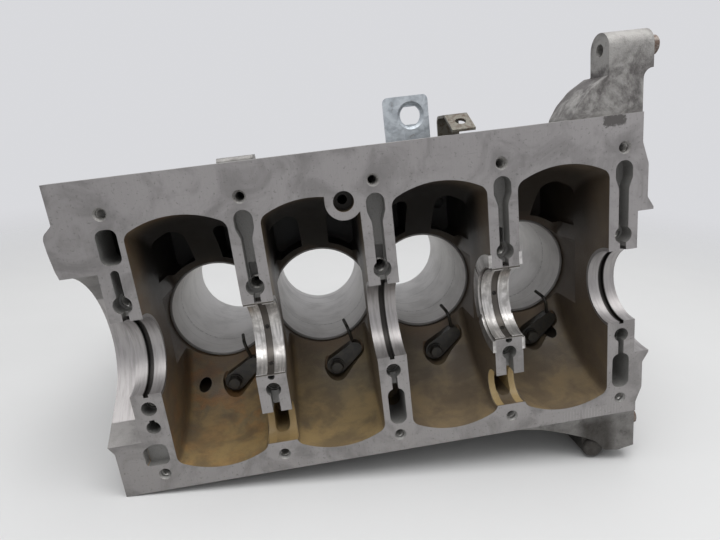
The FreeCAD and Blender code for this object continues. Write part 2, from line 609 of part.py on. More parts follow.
def joint_face_tools():
    """Bolt holes, oil slots and pockets in the joint face, bulkhead by bulkhead."""
    solids = []
    for x in BULKHEAD_X:
        solids.append(pillar(x, MAIN_BOLT_Z, MAIN_COUNTER_TOP_R, -1, MAIN_COUNTER_DEPTH))
        solids.append(pillar(x, -MAIN_BOLT_Z, MAIN_COUNTER_BOTTOM_R, -1, MAIN_COUNTER_DEPTH))
        for side in (1, -1):
            solids.append(pillar(x, side * MAIN_BOLT_Z, MAIN_BOLT_R, 0, MAIN_BOLT_DEPTH))
        for z in RAIL_BOLT_Z:
            solids.append(pillar(x, z, RAIL_BOLT_R, -1, RAIL_BOLT_DEPTH))
            solids.append(Part.makeCone(RAIL_MOUTH_R + 0.5, RAIL_BOLT_R,
                                        2 * (RAIL_MOUTH_R - RAIL_BOLT_R),
                                        V(x, -0.5, z), V(0, 1, 0)))
        solids.append(slot(x, HOUSING_R - 2, MAIN_BOLT_Z, 5.0, -1, 8, 0.0))
    first, last = BULKHEAD_X[0], BULKHEAD_X[-1]
    for x in BULKHEAD_X[1:]:
        half, neck = 6.75, 4.0
        solids.append(slab([(x - half, 98, half - 0.05), (x + half, 98, half - 0.05),
                            (x + half, 85, 5), (x + neck, 77, 8), (x + neck, MAIN_BOLT_Z),
                            (x - neck, MAIN_BOLT_Z), (x - neck, 77, 8), (x - half, 85, 5)],
                           -1, 12))
        solids.append(slot(x, MAIN_BOLT_Z, 58, 2 * neck - 1.0, 11, 19, 1.5))
    solids.append(slot(first + 0.3, 71, 96.5, 14.5, -1, 38, 5.5))
    solids.append(slot(first, 44, 67.5, 6.0, -1, 16))
    solids.append(pillar(first, -57.5, 5.3, -1, 30))
    solids.append(slot(first, -56, -51, 4.0, -1, 30, 0.0))
    solids.append(slab([(first - 12.5, -76, 4), (first - 12, -90, 3), (first + 6.5, -90, 5),
                        (first + 6, -72, 6), (first - 5, -71.5, 8)], -1, 7))
    for x in BULKHEAD_X[1:-1:2]:
        solids.append(pillar(x, -HOUSING_R - 1.2, 2.6, -1, 14))
        solids.append(slot(x, -64, -MAIN_BOLT_Z, 6.2, -1, 10, 0.0))
        solids.append(roller(6.5, -74, 15.0, x - BULKHEAD, x + BULKHEAD))
        solids.append(slot(x, -87, -58, 12.0, 10, 48, 4.0))
    for x, top, depth, width in ((BULKHEAD_X[2], -57, 44, 13.6), (last, -58, 22, 14.4)):
        solids.append(slot(x, -88.7, top, width, -1, depth, 6.3))
        solids.append(slot(x, top - 2, -MAIN_BOLT_Z, 4.6, -1, 9, 0.0))
    return solids


def jet_seat_tools():
    """Spot faces and screw holes of the oil jets, and the drains of the end bays."""
    solids = []
    for x in CYLINDER_X:
        bolt = (x + JET_BOLT[0], JET_BOLT[1])
        nose = (x + JET_NOSE[0], JET_NOSE[1])
        solids.append(link_plate(bolt, nose, JET_SEAT_MARGIN, 55, JET_PAD_Y))
        solids.append(pillar(*bolt, M6_R + M6_FIT, JET_PAD_Y - 1, JET_PAD_Y + JET_SCREW_GRIP + 1))
    for x, side in ((CYLINDER_X[0], -1), (CYLINDER_X[-1], 1)):
        solids.append(pillar(x + side * 22.5, -63, 5.0, 60, 100))
    return solids


def outside_tools():
    """Holes of the head, the chain case, the bell housing and the flanks."""
    solids = []
    for x in BULKHEAD_X:
        for side in (1, -1):
            solids.append(pillar(x, side * HEAD_BOLT_Z, HEAD_BOLT_R, DECK - HEAD_BOLT_DEPTH,
                                 DECK + 1))
    for x in (BULKHEAD_X[0], BULKHEAD_X[-1]):
        solids.append(pillar(x, -HEAD_BOLT_Z, HEAD_DOWEL_R, DECK - HEAD_DOWEL_SEAT, DECK + 1))
    for x, z in drain_places():
        solids.append(pillar(x, z, DRAIN_HOLE_R, POCKET_DEPTH - 20, DECK + 1))
    for y, z in BELL_BOLTS[1:]:
        solids.append(roller(y, z, BELL_BOLT_R, CASE_REAR - 5, REAR + 1))
    solids.append(roller(LUG_Y, LUG_Z, 4.4, REAR - 60, REAR + 1))
    for y, z in dowel_places():
        solids.append(roller(y, z, DOWEL_R, REAR - DOWEL_SEAT, REAR + 1))
    for y in (82.0, 130.0, 178.0, DECK - 10):
        share = (y - 62) / (DECK - 62)
        solids.append(roller(y, POCKET_Z + 5 - 7 * share, CASE_BOLT_R, FRONT - 1, FRONT + 12))
        solids.append(roller(y, SHELF_Z + 2 + 2 * share, CASE_BOLT_R, FRONT - 1, FRONT + 12))
    for x, y in (BRACKET_FOOT, CLIP_FOOT):
        solids.append(post(x, y, M6_R + M6_FIT, BOSS_TOP - BRACKET_SCREW_LENGTH - 2, BOSS_TOP + 1))
    solids.append(post(CYLINDER_X[1] + 47, 104, 4.2, POCKET_Z - 6, POCKET_Z + 9))
    for dx in (-16.5, -1.5):
        solids.append(post(BULKHEAD_X[1] + dx, 88, 4.2, FACE_TOP - 18, FACE_TOP + 3))
    for x, y in mount_places():
        solids.append(post(x, y, 4.6, SHELF_Z - 1, SHELF_Z + 20))
    solids.append(post(*DRAIN_PLACE, DRAIN_BOLT_R + M6_FIT, DRAIN_BOSS_Z - 1, -JACKET_R + 4))
    solids.append(post(CYLINDER_X[0] - 4, 168, 15, JACKET_R - 4, WATER_WALL_R + 15))
    for dx, y in ((-22, 146), (14, 146), (-22, 190), (14, 190)):
        solids.append(post(CYLINDER_X[0] + dx, y, CASE_BOLT_R, WATER_WALL_R, WATER_WALL_R + 15))
    solids.append(roller(GALLERY_Y, GALLERY_Z, GALLERY_R, FRONT - 1, REAR + 1))
    for x0, x1 in ((FRONT - 1, gallery_front()), (gallery_rear(), REAR + 1)):
        solids.append(roller(GALLERY_Y, GALLERY_Z, PLUG_R, x0, x1))
    return solids


def gallery_front():
    """Floor of the front gallery plug's seat."""
    return FRONT + 13.0


def gallery_rear():
    """Floor of the rear gallery plug's seat."""
    return REAR - 14.0


def dowel_places():
    """Dowel sleeves of the bell housing, along Y and Z."""
    return [(LUG_Y, LUG_Z), BELL_BOLTS[-1]]


def cylinder_block():
    """The casting, with everything that is machined into it."""
    boss, boss_holes = feed_boss()
    body = rail_plate().fuse([crankcase(), water_wall(), chain_face(), bell_face()]
                             + side_ribs() + flank_bosses())
    body = body.cut(bay_tools())
    body = body.fuse(boss)
    body = body.cut(pocket_tools() + cylinder_tools() + crank_tools() + [chain_hollow()])
    body = body.fuse([upper_lug(), lower_web()])
    body = body.cut(joint_face_tools() + jet_seat_tools() + outside_tools() + [boss_holes])
    return body.removeSplitter()


def liner(x):
    """Iron liner of one cylinder."""
    tube = pillar(x, 0, LINER_R, BORE_FOOT, DECK).cut(pillar(x, 0, BORE_R, BORE_FOOT - 1, DECK + 1))
    foot = [e for e in tube.Edges if e.BoundBox.YMax < BORE_FOOT + 1e-6]
    return tube.makeChamfer(LINER_CHAMFER, foot)


def bearing_shell(x):
    """Half shell with its oil groove and two oil holes."""
    half = BULKHEAD / 2 - SHELL_SIDE_GAP
    ring = roller(0, 0, HOUSING_R, x - half, x + half)
    ring = ring.cut([roller(0, 0, SHELL_R, x - half - 1, x + half + 1),
                     roller(0, 0, SHELL_R + SHELL_GROOVE_DEPTH,
                            x - SHELL_GROOVE_W / 2, x + SHELL_GROOVE_W / 2)])
    ring = ring.common(Part.makeBox(4 * half, HOUSING_R + 1, 3 * HOUSING_R,
                                    V(x - 2 * half, 0, -1.5 * HOUSING_R)))
    for angle in (0.0, 63.0):
        aim = V(0, math.cos(math.radians(angle)), -math.sin(math.radians(angle)))
        ring = ring.cut(Part.makeCylinder(SHELL_HOLE_R, HOUSING_R + 2, V(x, 0, 0), aim))
    return ring


def thrust_washer(side):
    """Half washer that lies in the side of the fourth bulkhead."""
    seat = THRUST_X + side * (BULKHEAD / 2 - WASHER_SEAT)
    x0, x1 = sorted((seat, seat + side * WASHER_T))
    ring = roller(0, 0, WASHER_R, x0, x1).cut(roller(0, 0, HOUSING_R + 0.5, x0 - 1, x1 + 1))
    ring = ring.common(Part.makeBox(x1 - x0, WASHER_R + 1, 2 * WASHER_R,
                                    V(x0, 0, -WASHER_R)))
    groove_x = x1 - 0.8 if side > 0 else x0 - 0.2
    for angle in (35.0, -35.0):
        aim = V(0, math.cos(math.radians(angle)), math.sin(math.radians(angle)))
        cut = Part.makeBox(1.0, 3.0, WASHER_R + 2, V(groove_x, -1.5, 0))
        cut.rotate(V(0, 0, 0), V(1, 0, 0), angle - 90)
        ring = ring.cut(cut)
    return ring


def link_plate(bolt, nose, margin, y0, y1):
    """Plate round a jet's two ends, grown by margin, between two heights."""
    big, small = JET_BIG_R + margin, JET_SMALL_R + margin
    span = math.hypot(nose[0] - bolt[0], nose[1] - bolt[1])
    tilt = math.atan2(nose[1] - bolt[1], nose[0] - bolt[0])
    open_angle = math.acos((big - small) / span)
    rim = []
    for centre, radius in ((bolt, big), (nose, small)):
        for side in (1, -1):
            a = tilt + side * open_angle
            rim.append((centre[0] + radius * math.cos(a), centre[1] + radius * math.sin(a)))
    web = slab([rim[0], rim[2], rim[3], rim[1]], y0, y1)
    return web.fuse([pillar(*bolt, big, y0, y1), pillar(*nose, small, y0, y1)]).removeSplitter()


def oil_jet(x):
    """Jet of one cylinder: a drilled link with a bent spray tube brazed into its nose."""
    y0 = JET_PAD_Y - JET_LINK_T
    bolt = (x + JET_BOLT[0], JET_BOLT[1])
    nose = (x + JET_NOSE[0], JET_NOSE[1])
    link = link_plate(bolt, nose, 0, y0, JET_PAD_Y)
    link = link.cut(pillar(*bolt, M6_R + M6_FIT, y0 - 1, JET_PAD_Y + 1))
    centre_y = JET_PAD_Y - JET_LINK_T / 2
    centre = V(nose[0], centre_y, nose[1])
    start = centre + V(0, 0, JET_ROOT)
    knee = centre + V(*JET_KNEE)
    tip = centre + V(*JET_TIP)
    tube = bent_tube(start, knee, tip, JET_BEND_R, JET_TUBE_R)
    spray = Part.makeCylinder(JET_TUBE_BORE_R, JET_BEND_R + 1, tip + (tip - knee).normalize(),
                              (knee - tip).normalize())
    return link.fuse(tube).removeSplitter().cut(spray)


def bent_tube(start, knee, tip, bend, radius):
    """Round rod along two runs joined by an arc of radius bend."""
    u, w = (start - knee).normalize(), (tip - knee).normalize()
    turn = u.getAngle(w)
    reach = bend / math.tan(turn / 2)
    a, b = knee + u * reach, knee + w * reach
    middle = knee + (u + w).normalize() * (bend / math.sin(turn / 2) - bend)
    path = Part.Wire([Part.LineSegment(start, a).toShape(), Part.Arc(a, middle, b).toShape(),
                      Part.LineSegment(b, tip).toShape()])
    ring = Part.Wire([Part.Circle(start, u, radius).toShape()])
    return path.makePipeShell([ring], True, False)


def jet_screws():
    """One screw for each oil jet."""
    solids = []
    for x in CYLINDER_X:
        part = screw(JET_LINK_T + JET_SCREW_GRIP)
        part.translate(V(x + JET_BOLT[0], JET_PAD_Y - JET_LINK_T, JET_BOLT[1]))
        solids.append(part)
    return Part.makeCompound(solids)


def harness_bracket():
    """Zinc-plated angle behind the joint rail: an upright plate with a flared hole."""
    x, y = BRACKET_FOOT
    z = BOSS_TOP + SHEET_T / 2
    top = FACE_TOP + BRACKET_RISE
    plate_y = BRACKET_PLATE_Y
    sheet = rail(band([(y + 14, z), (plate_y, z, 4), (plate_y, top)], SHEET_T),
                 x - BRACKET_WIDTH / 2, x + BRACKET_WIDTH / 2)
    rim = slab([(x - BRACKET_WIDTH / 2, BOSS_TOP - 5), (x - BRACKET_WIDTH / 2, top, 4),
                (x + BRACKET_WIDTH / 2, top, 4), (x + BRACKET_WIDTH / 2, BOSS_TOP - 5)], 30, y + 20)
    sheet = sheet.common(rim)
    hole = (x + 3.5, top - 14.5)
    front = plate_y - SHEET_T / 2
    flare_low = Part.makeCone(BRACKET_FLARE_R, BRACKET_HOLE_R + 0.4, BRACKET_FLARE_H,
                              V(hole[0], front, hole[1]), V(0, 1, 0))
    flare_high = Part.makeCone(BRACKET_FLARE_R + 1.6, BRACKET_HOLE_R + 1.9, BRACKET_FLARE_H,
                               V(hole[0], front + 1.5, hole[1]), V(0, 1, 0))
    lip = pillar(*hole, BRACKET_HOLE_R + 1.5, front + BRACKET_FLARE_H, front + BRACKET_FLARE_H + 1.5)
    double_d = pillar(*hole, BRACKET_HOLE_R, front - 2, front + 8)
    double_d = double_d.common(Part.makeBox(40, 40, 2 * BRACKET_HOLE_FLAT,
                                            V(hole[0] - 20, front - 5, hole[1] - BRACKET_HOLE_FLAT)))
    sheet = sheet.fuse([flare_high, lip]).cut([flare_low, double_d])
    return sheet.cut(post(x, y, M6_R + M6_FIT, BOSS_TOP - 1, BOSS_TOP + 5)).removeSplitter()


def clip_bracket():
    """Folded steel strip that hooks over the joint rail, its flap sloping to the face."""
    x, y = CLIP_FOOT
    z = BOSS_TOP + SHEET_T / 2
    path = [(y + 12, z), (BRACKET_PLATE_Y + 2, z, 4), (BRACKET_PLATE_Y + 0.5, FACE_TOP + CLIP_RISE, 5),
            (CLIP_BACK, FACE_TOP + CLIP_RISE, 6), (CLIP_EDGE[0], FACE_TOP + CLIP_EDGE[1])]
    strip = rail(band(path, SHEET_T), x - CLIP_WIDTH / 2, x + CLIP_WIDTH / 2)
    slope = V(0, CLIP_BACK - CLIP_EDGE[0], CLIP_RISE - CLIP_EDGE[1]).normalize()
    through = slope.cross(V(1, 0, 0))
    middle = V(x + 0.5, (CLIP_BACK + CLIP_EDGE[0]) / 2, FACE_TOP + (CLIP_RISE + CLIP_EDGE[1]) / 2)
    hole = Part.makeCylinder(CLIP_HOLE_R, 6 * SHEET_T, middle - through * 3 * SHEET_T, through)
    return strip.cut([hole, post(x, y, M6_R + M6_FIT, BOSS_TOP - 1, BOSS_TOP + 5)])


def bracket_screws():
    """The screws that hold the two brackets' feet."""
    solids = []
    for x, y in (BRACKET_FOOT, CLIP_FOOT):
        part = screw(BRACKET_SCREW_LENGTH)
        part.rotate(V(0, 0, 0), V(1, 0, 0), -90)
        part.translate(V(x, y, BOSS_TOP + SHEET_T))
        solids.append(part)
    return Part.makeCompound(solids)


def sleeve(radius, wall, length, base, aim):
    """Thin dowel sleeve with a small lead at its free end."""
    tube = Part.makeCylinder(radius, length, base, aim)
    tube = tube.cut(Part.makeCylinder(radius - wall, length + 2, base - aim, aim))
    end = base + aim * length
    rims = [e for e in tube.Edges if abs((e.CenterOfMass - end).dot(aim)) < 1e-6
            and e.Length > 2 * math.pi * (radius - wall / 2)]
    return tube.makeChamfer(0.5, rims)


def bell_dowels():
    """The two sleeves that centre the bell housing."""
    return Part.makeCompound([sleeve(DOWEL_R, DOWEL_WALL, DOWEL_LENGTH, V(REAR - DOWEL_SEAT, y, z),
                                     V(1, 0, 0)) for y, z in dowel_places()])


def head_dowels():
    """The two sleeves that centre the cylinder head."""
    return Part.makeCompound([sleeve(HEAD_DOWEL_R, HEAD_DOWEL_WALL, HEAD_DOWEL_LENGTH,
                                     V(x, DECK - HEAD_DOWEL_SEAT, -HEAD_BOLT_Z), V(0, 1, 0))
                              for x in (BULKHEAD_X[0], BULKHEAD_X[-1])])


def gallery_plug(x, side):
    """Screwed plug of the oil gallery with a hexagon socket; side is where its head looks."""
    x0, x1 = sorted((x, x + side * PLUG_T))
    plug = roller(GALLERY_Y, GALLERY_Z, PLUG_R, x0, x1)
    corner = 3.0 / math.cos(math.pi / 6)
    points = [(GALLERY_Y + corner * math.cos(math.radians(60 * k)),
               GALLERY_Z + corner * math.sin(math.radians(60 * k))) for k in range(6)]
    s0, s1 = sorted((x + side * 1.5, x + side * (PLUG_T + 1)))
    return plug.cut(rail(points, s0, s1))


def drain_bolt():
    """Coolant drain screw in the lower flank."""
    x, y = DRAIN_PLACE
    seat = DRAIN_BOSS_Z - WASHER_SHEET
    head = hexagon(0, 0, DRAIN_HEAD_R * 0.87, -DRAIN_HEAD_H, -1.5)
    bolt = head.fuse([pillar(0, 0, DRAIN_HEAD_R, -1.5, 0), pillar(0, 0, DRAIN_BOLT_R, 0, 15)])
    bolt = bolt.removeSplitter()
    bolt.rotate(V(0, 0, 0), V(1, 0, 0), 90)
    bolt.translate(V(x, y, seat))
    return bolt


def drain_washer():
    """Sealing washer of the coolant drain screw."""
    x, y = DRAIN_PLACE
    ring = post(x, y, DRAIN_HEAD_R, DRAIN_BOSS_Z - WASHER_SHEET, DRAIN_BOSS_Z)
    return ring.cut(post(x, y, DRAIN_BOLT_R + M6_FIT, DRAIN_BOSS_Z - 3, DRAIN_BOSS_Z + 1))


def nodes():
    """Every piece by its name."""
    made = {"cylinder_block": cylinder_block()}
    for i, x in enumerate(CYLINDER_X, 1):
        made[f"cylinder_liner_{i}"] = liner(x)
        made[f"oil_jet_{i}"] = oil_jet(x)
    made["oil_jet_screws"] = jet_screws()
    for i, x in zip((2, CYLINDERS), SHELL_X):
        made[f"main_bearing_shell_{i}"] = bearing_shell(x)
    made["thrust_washer_front"] = thrust_washer(-1)
    made["thrust_washer_rear"] = thrust_washer(1)
    made["harness_bracket"] = harness_bracket()
    made["clip_bracket"] = clip_bracket()
    made["bracket_screws"] = bracket_screws()
    made["bell_housing_dowels"] = bell_dowels()
    made["head_dowels"] = head_dowels()
    made["oil_gallery_plug_front"] = gallery_plug(gallery_front(), -1)
    made["oil_gallery_plug_rear"] = gallery_plug(gallery_rear(), 1)
    made["coolant_drain_bolt"] = drain_bolt()
    made["coolant_drain_washer"] = drain_washer()
    return made


def main():
    """Writes one STEP file for each piece."""
    os.makedirs("parts", exist_ok=True)
    for name, shape in nodes().items():
        shape.exportStep(f"parts/{name}.step")
        print(name, "solids", len(shape.Solids), "valid", shape.isValid(),
              "volume", round(shape.Volume), "faces", len(shape.Faces))


if __name__ == "__main__":
    main()
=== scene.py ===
import json
import logging
import math
from dataclasses import dataclass
from enum import Enum
from typing import Mapping, Union

import bpy
from mathutils import Matrix, Vector


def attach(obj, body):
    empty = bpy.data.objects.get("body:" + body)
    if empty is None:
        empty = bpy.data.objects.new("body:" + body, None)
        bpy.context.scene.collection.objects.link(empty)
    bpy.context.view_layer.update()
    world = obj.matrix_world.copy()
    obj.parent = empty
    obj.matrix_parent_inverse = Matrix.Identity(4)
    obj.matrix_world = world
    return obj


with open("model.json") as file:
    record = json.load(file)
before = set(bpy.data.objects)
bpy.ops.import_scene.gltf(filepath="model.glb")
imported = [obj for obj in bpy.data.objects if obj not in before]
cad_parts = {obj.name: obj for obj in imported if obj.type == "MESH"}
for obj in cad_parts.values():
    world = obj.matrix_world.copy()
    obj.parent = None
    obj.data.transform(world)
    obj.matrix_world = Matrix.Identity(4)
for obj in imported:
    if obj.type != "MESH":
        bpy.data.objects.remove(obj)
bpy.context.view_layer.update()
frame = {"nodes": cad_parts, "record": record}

LOG = logging.getLogger("engine_block")
MM = 0.001
COAT_ROUGHNESS = 0.2
BORE_PITCH = 94.0
MAIN_BOLT_Z = 41.5
RAIL_BOLT_HIGH = 107.2
RAIL_BOLT_LOW = -98.6
Pair = tuple[float, float]
Triple = tuple[float, float, float]
Colour = Triple


@dataclass(frozen=True)
class Wire:
    """A shader socket that takes part in Python expressions."""

    bench: "Bench"
    socket: bpy.types.NodeSocket

    def math(self, operation: str, *others: "Value") -> "Wire":
        """Feeds this socket and others to a Math node.

        Args:
            operation: the node's operation.
            others: its further values or sockets.

        Returns:
            The node's result.
        """
        inputs = dict(enumerate((self, *others)))
        return self.bench.make("ShaderNodeMath", {"operation": operation}, inputs)

    def flipped(self, operation: str, other: "Value") -> "Wire":
        """Feeds another value and then this socket to a Math node."""
        return self.bench.make("ShaderNodeMath", {"operation": operation}, {0: other, 1: self})

    def __add__(self, other: "Value") -> "Wire":
        """Sum."""
        return self.math("ADD", other)

    def __radd__(self, other: "Value") -> "Wire":
        """Sum, reflected."""
        return self.flipped("ADD", other)

    def __sub__(self, other: "Value") -> "Wire":
        """Difference."""
        return self.math("SUBTRACT", other)

    def __rsub__(self, other: "Value") -> "Wire":
        """Difference, reflected."""
        return self.flipped("SUBTRACT", other)

    def __mul__(self, other: "Value") -> "Wire":
        """Product."""
        return self.math("MULTIPLY", other)

    def __rmul__(self, other: "Value") -> "Wire":
        """Product, reflected."""
        return self.flipped("MULTIPLY", other)

    def __pow__(self, other: "Value") -> "Wire":
        """Power."""
        return self.math("POWER", other)

    def __abs__(self) -> "Wire":
        """Size without its sign."""
        return self.math("ABSOLUTE")

    def __or__(self, other: "Value") -> "Wire":
        """Union of two masks: the larger of the two."""
        return self.math("MAXIMUM", other)

    def above(self, edge: float, soft: float = 0.05) -> "Wire":
        """Mask of where this value is over an edge.

        Args:
            edge: the value at which the mask is one half.
            soft: half the width of its ramp.

        Returns:
            A mask from 0 to 1.
        """
        settings = {"interpolation_type": "SMOOTHSTEP"}
        inputs = {"Value": self, "From Min": edge - soft, "From Max": edge + soft}
        return self.bench.make("ShaderNodeMapRange", settings, inputs)

    def below(self, edge: float, soft: float = 0.05) -> "Wire":
        """Mask of where this value is under an edge, as above() is of where it is over it."""
        return 1.0 - self.above(edge, soft)

    def within(self, low: float, high: float, soft: float = 0.05) -> "Wire":
        """Mask of where this value lies between two edges."""
        return self.above(low, soft) * self.below(high, soft)


Value = Union[float, Wire]
Tint = Union[Colour, Wire]


def distance(*sides: Wire) -> Wire:
    """Finds a straight distance.

    Args:
        sides: its parts along two or three square axes.

    Returns:
        The distance.
    """
    total = sides[0] * sides[0]
    for side in sides[1:]:
        total = total + side * side
    return total ** 0.5


@dataclass(frozen=True)
class Place:
    """Where a point of a surface lies, in millimetres, and which way it looks."""

    at: Wire
    x: Wire
    y: Wire
    z: Wire
    nx: Wire
    ny: Wire
    nz: Wire


class Bench:
    """Workbench on which the nodes of one material, or of the air, are put together."""

    def __init__(self, owner: Union[bpy.types.Material, bpy.types.World]) -> None:
        """Takes up a material or a world and clears its nodes.

        Args:
            owner: the material or the world.
        """
        owner.use_nodes = True
        self.owner = owner
        self.tree = owner.node_tree
        self.tree.nodes.clear()

    def make(self, kind: str, settings: Mapping[str, object],
             inputs: Mapping[Union[int, str], object], output: Union[int, str] = 0) -> Wire:
        """Adds a node.

        Args:
            kind: the node's type.
            settings: its properties, such as a Math node's operation.
            inputs: values or sockets by input name or number.
            output: which of its outputs is wanted.

        Returns:
            That output.
        """
        node = self.tree.nodes.new(kind)
        for key, value in settings.items():
            setattr(node, key, value)
        for key, value in inputs.items():
            if isinstance(value, Wire):
                self.tree.links.new(value.socket, node.inputs[key])
            else:
                node.inputs[key].default_value = value
        return Wire(self, node.outputs[output])

    def place(self) -> Place:
        """Reads where the surface is and which way it looks.

        Returns:
            The place.
        """
        metres = self.make("ShaderNodeTexCoord", {}, {}, "Object")
        at = self.make("ShaderNodeVectorMath", {"operation": "SCALE"},
                       {0: metres, "Scale": 1.0 / MM})
        normal = self.make("ShaderNodeNewGeometry", {}, {}, "True Normal")
        return Place(at, *self.split(at), *self.split(normal))

    def split(self, vector: Wire) -> tuple[Wire, Wire, Wire]:
        """Takes a vector apart into its three numbers."""
        node = self.make("ShaderNodeSeparateXYZ", {}, {0: vector}).socket.node
        return tuple(Wire(self, node.outputs[i]) for i in range(3))

    def stretch(self, vector: Wire, factors: Triple) -> Wire:
        """Multiplies a vector by three numbers."""
        return self.make("ShaderNodeVectorMath", {"operation": "MULTIPLY"},
                         {0: vector, 1: factors})

    def noise(self, at: Wire, size: float, detail: float = 3.0, rough: float = 0.5,
              twist: float = 0.0) -> Wire:
        """Cloudy pattern.

        Args:
            at: where it is read, in millimetres.
            size: rough size of a cloud, in millimetres.
            detail: number of finer layers.
            rough: how strong the finer layers are.
            twist: how far the clouds are distorted.

        Returns:
            A value from 0 to 1, mostly near the middle.
        """
        inputs = {"Vector": at, "Scale": 1.0 / size, "Detail": detail, "Roughness": rough,
                  "Distortion": twist}
        return self.make("ShaderNodeTexNoise", {}, inputs)

    def cells(self, at: Wire, size: float) -> Wire:
        """Cell pattern, as a colour for each cell, with cells of a size in millimetres."""
        inputs = {"Vector": at, "Scale": 1.0 / size}
        return self.make("ShaderNodeTexVoronoi", {}, inputs, "Color")

    def mix(self, first: Tint, second: Tint, share: Value) -> Wire:
        """Mixes two colours.

        Args:
            first: colour or socket at share 0.
            second: colour or socket at share 1.
            share: how much of the second there is.

        Returns:
            The mixed colour.
        """
        pair = [(*c, 1.0) if isinstance(c, tuple) else c for c in (first, second)]
        settings = {"data_type": "RGBA", "clamp_factor": True}
        return self.make("ShaderNodeMix", settings, {0: share, 6: pair[0], 7: pair[1]}, 2)

    def shade(self, first: Value, second: Value, share: Wire) -> Wire:
        """Mixes two numbers by a share."""
        return share * second + (1.0 - share) * first

    def bump(self, height: Wire, depth: float) -> Wire:
        """Turns a height pattern into a normal.

        Args:
            height: pattern whose full swing is about 1.
            depth: what that swing is, in millimetres.

        Returns:
            The bumped normal.
        """
        inputs = {"Strength": 1.0, "Distance": depth * MM, "Height": height}
        return self.make("ShaderNodeBump", {}, inputs)

    def finish(self, colour: Wire, metallic: Value, roughness: Value, normal: Wire,
               coat: Value = 0.0) -> bpy.types.Material:
        """Ends the material in a surface shader.

        Args:
            colour: base colour.
            metallic: how metallic it is.
            roughness: how rough it is.
            normal: bumped normal.
            coat: weight of the oil film or lacquer over it.

        Returns:
            The finished material.
        """
        inputs = {"Base Color": colour, "Metallic": metallic, "Roughness": roughness,
                  "Normal": normal, "Coat Weight": coat, "Coat Roughness": COAT_ROUGHNESS}
        self.make_output(self.make("ShaderNodeBsdfPrincipled", {}, inputs))
        return self.owner

    def make_output(self, shader: Wire, kind: str = "ShaderNodeOutputMaterial") -> None:
        """Links a shader to an output node."""
        node = self.tree.nodes.new(kind)
        self.tree.links.new(shader.socket, node.inputs["Surface"])


